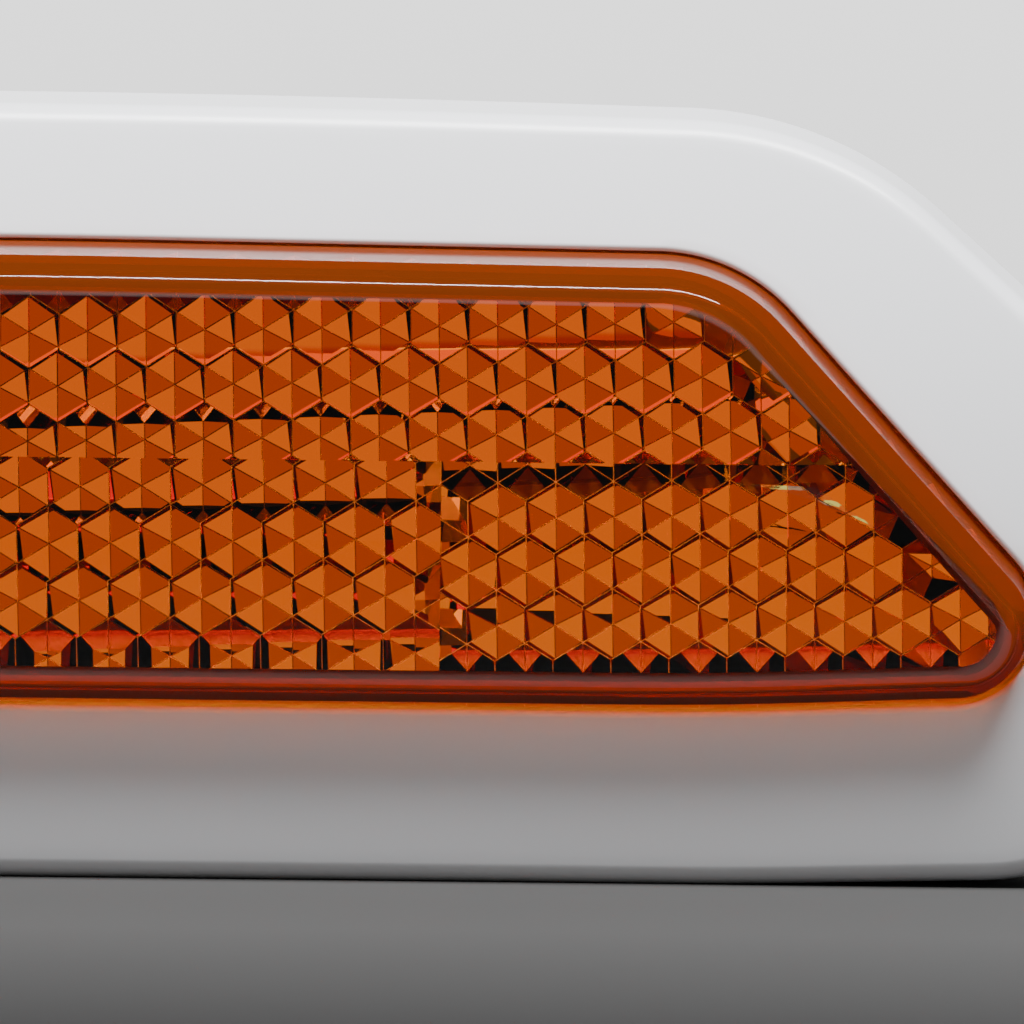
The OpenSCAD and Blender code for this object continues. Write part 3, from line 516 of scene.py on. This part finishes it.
def pin_block(name, low, high, root, column, side, step, lean, tilt, flipped):
    """A slab of cube-corner pins over a rectangle of the field, its edges softened like the tool's."""
    flip = -1 if flipped else 1

    def spot(i, half_rows, level):
        x = i * column
        y = flip * half_rows * side / 2 + x * row_rise
        deep = level * step
        return Vector((
            root[0] + x + lean[0] * deep, root[1] + y + lean[1] * deep,
            pin_root - deep + tilt * (root[1] + y)))

    mesh = bmesh.new()
    made = {}

    def vertex(i, half_rows, level):
        key = (i, half_rows)
        if key not in made:
            made[key] = mesh.verts.new(spot(i, half_rows, level))
        return made[key]

    reach_x = int(max(high[0] - root[0], root[0] - low[0]) / column) + 3
    reach_y = int(2 * max(high[1] - root[1], root[1] - low[1]) / side) + 4
    for i in range(-reach_x, reach_x + 1):
        for h in range(-reach_y, reach_y + 1):
            if (i + h) % 2 or ((h - i) // 2 - i) % 3:
                continue
            x, y = root[0] + i * column, root[1] + flip * h * side / 2
            if not low[0] - 2 * column < x < high[0] + 2 * column:
                continue
            if not low[1] - 1.5 * side < y < high[1] + 1.5 * side:
                continue
            centre = vertex(i, h, 0)
            up, right, left = vertex(i, h + 2, 1), vertex(i + 1, h - 1, 1), vertex(i - 1, h - 1, 1)
            down = vertex(i, h - 2, 2)
            far_right, far_left = vertex(i + 1, h + 1, 2), vertex(i - 1, h + 1, 2)
            mesh.faces.new((centre, up, far_right, right))
            mesh.faces.new((centre, right, down, left))
            mesh.faces.new((centre, left, far_left, up))
    sharp = [e for e in mesh.edges if len(e.link_faces) == 2]
    bmesh.ops.bevel(
        mesh, geom=sharp, offset=pin_edge, segments=1, profile=0.5, affect="EDGES", clamp_overlap=False)
    border = [e for e in mesh.edges if len(e.link_faces) == 1]
    grown = bmesh.ops.extrude_edge_only(mesh, edges=border)
    for v in (g for g in grown["geom"] if isinstance(g, bmesh.types.BMVert)):
        v.co.z = pin_root + slab_t
    top = [e for e in grown["geom"] if isinstance(e, bmesh.types.BMEdge)]
    bmesh.ops.contextual_create(mesh, geom=[e for e in top if len(e.link_faces) == 1])
    bmesh.ops.triangulate(mesh, faces=[f for f in mesh.faces if len(f.verts) > 4])
    return as_piece(name, mesh)


def field_prism(name, low, high):
    """The room for one block: its rectangle within the skirt, from the pins' tips into the dome."""
    edge = [Vector(p) for p in lens_line([w - 0.05 for w in skirt])]
    mesh = bmesh.new()
    top = mesh.faces.new([mesh.verts.new((p.x, p.y, pin_root - 4)) for p in edge])
    for axis, value, keep in ((0, low[0], 1), (0, high[0], -1), (1, low[1], 1), (1, high[1], -1)):
        spot, facing = Vector((0, 0, 0)), Vector((0, 0, 0))
        spot[axis], facing[axis] = value, -keep
        everything = mesh.verts[:] + mesh.edges[:] + mesh.faces[:]
        bmesh.ops.bisect_plane(mesh, geom=everything, plane_co=spot, plane_no=facing, clear_outer=True)
    grown = bmesh.ops.extrude_face_region(mesh, geom=mesh.faces[:])
    for v in (g for g in grown["geom"] if isinstance(g, bmesh.types.BMVert)):
        v.co.z = pin_root + field_t
    return as_piece(name, mesh)


joint_level, joint_upright = 0.7, 21.3
upper_block = dict(
    low=(-lens_left, joint_level), high=(lens_right, lens_half_h), root=(7.99, 3.16),
    column=1.32, side=1.61, step=1.0817, lean=(-0.0344, -0.0507), tilt=-0.0646, flipped=False)
lower_left_block = dict(
    low=(-lens_left, -lens_half_h), high=(joint_upright, joint_level), root=(7.71, -2.24),
    column=1.38, side=1.69, step=1.133, lean=(0.0344, -0.0157), tilt=0.0006, flipped=True)
lower_right_block = dict(
    low=(joint_upright, -lens_half_h), high=(lens_right, joint_level), root=(22.5, -1.07),
    column=1.305, side=1.593, step=1.0695, lean=(0.0342, -0.0157), tilt=-0.004, flipped=True)
for name, sizes in (
    ("upper_pins", upper_block), ("lower_left_pins", lower_left_block),
    ("lower_right_pins", lower_right_block),
):
    block = pin_block(name, **sizes)
    joined(block, field_prism(name + "_room", sizes["low"], sizes["high"]), "INTERSECT")
    joined(lens, block, "UNION")
smoothed(lens)
amber, tree, shader = new_material("amber_acrylic", (1, 1, 1), 0.0)
shader.inputs["Transmission Weight"].default_value = 1
shader.inputs["IOR"].default_value = 1.49

# The steep rim and the shoulder are slightly dull, from the tool's texture. They are what lies
# between the crown and the flange, and drop is the place's depth under the crown, less lens_depth.
place = along(tree)
square = worked_out(tree, "MULTIPLY", place["Z"], place["Z"])
drop = worked_out(tree, "MULTIPLY_ADD", square.outputs[0], -1 / (2 * lens_crown_r * mm), place["Y"])
under_crown = ranged(tree, drop.outputs[0], (0.004 - lens_depth) * mm, (0.03 - lens_depth) * mm, 0, 1)
above_pins = ranged(tree, drop.outputs[0], (2.35 - lens_depth) * mm, (2.3 - lens_depth) * mm, 0, 1)
rim_haze = worked_out(tree, "MULTIPLY", under_crown.outputs["Result"], above_pins.outputs["Result"])
clearness = ranged(tree, rim_haze.outputs[0], 0, 1, 1, 0.87)
tree.links.new(clearness.outputs["Result"], shader.inputs["Transmission Weight"])
rim_tint = tree.nodes.new("ShaderNodeMix")
rim_tint.data_type = "RGBA"
rim_tint.inputs["A"].default_value = (1, 1, 1, 1)
rim_tint.inputs["B"].default_value = (0.75, 0.13, 0.01, 1)
tree.links.new(rim_haze.outputs[0], rim_tint.inputs["Factor"])
tree.links.new(rim_tint.outputs["Result"], shader.inputs["Base Color"])
tint = tree.nodes.new("ShaderNodeVolumeAbsorption")
tint.inputs["Color"].default_value = (0.985, 0.71, 0.0, 1)
tint.inputs["Density"].default_value = 640
tree.links.new(tint.outputs["Volume"], tree.nodes["Material Output"].inputs["Volume"])
lay_material(lens, amber)
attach(lens, "root")
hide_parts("lens")


def dressed_in(names, material_name, colour, roughness, metallic=0):
    material, tree, shader = new_material("finish_" + material_name, colour, roughness, metallic)
    add_grain(tree, shader, 0.0015, roughness, 0.00002)
    for node in names:
        lay_material(nodes[node], material)


# Lens seal: a moulded ring of pale silicone between the lens's flange and the body's ledge. The
# holder's seal and the cap on the vent spigot are moulded in black rubber.
dressed_in(["lens_seal"], "seal_silicone", (0.82, 0.82, 0.8), 0.6)
dressed_in(["holder_seal", "vent_cap"], "seal_rubber", (0.02, 0.02, 0.02), 0.7)

# Lamp body and reflector: two mouldings, the body in pale plastic with its tub and bosses, and the
# brighter reflector staked on the body's posts, around the bulb.
dressed_in(["lamp_body"], "light_plastic", (0.82, 0.82, 0.81), 0.5)
dressed_in(["reflector"], "bright_plastic", (0.95, 0.95, 0.95), 0.6)

# Bulb: a wedge bulb, a clear glass envelope with a pinched base, a coil of lamp wire and the two
# wires that carry it.
dressed_in(["bulb_filament", "bulb_lead_wires"], "lamp_wire", (0.5, 0.5, 0.5), 0.3, 1)
glass, tree, shader = new_material("clear_glass", (1, 1, 1), 0.0)
shader.inputs["Transmission Weight"].default_value = 1
place = tree.nodes.new("ShaderNodeTexCoord")
ripple = tree.nodes.new("ShaderNodeTexNoise")
ripple.inputs["Scale"].default_value = 200
relief = tree.nodes.new("ShaderNodeBump")
relief.inputs["Strength"].default_value = 0.1
relief.inputs["Distance"].default_value = 0.00005
tree.links.new(place.outputs["Object"], ripple.inputs["Vector"])
tree.links.new(ripple.outputs["Fac"], relief.inputs["Height"])
tree.links.new(relief.outputs["Normal"], shader.inputs["Normal"])
lay_material(nodes["bulb_glass"], glass)

# Bulb holder: a twist-in moulding in black plastic with the connector's shroud, and in it two
# contacts stamped from sprung brass.
dressed_in(["bulb_holder"], "black_plastic", (0.02, 0.02, 0.02), 0.5)
brass_pieces = [
    "contact_positive", "contact_ground", "threaded_insert_left", "threaded_insert_right"]
dressed_in(brass_pieces, "contact_brass", (0.8, 0.6, 0.3), 0.3, 1)

# Fixings: two brass inserts pressed into the body, finished with the contacts above, four zinc
# plated screws that hold the body to the bezel, and a die-cut foam sheet against the panel.
case_screws = ["upper_left", "lower_left", "upper_right", "lower_right"]
dressed_in(["case_screw_" + spot for spot in case_screws], "zinc_steel", (0.6, 0.6, 0.62), 0.3, 1)
dressed_in(["panel_seal"], "seal_foam", (0.03, 0.03, 0.03), 0.9)
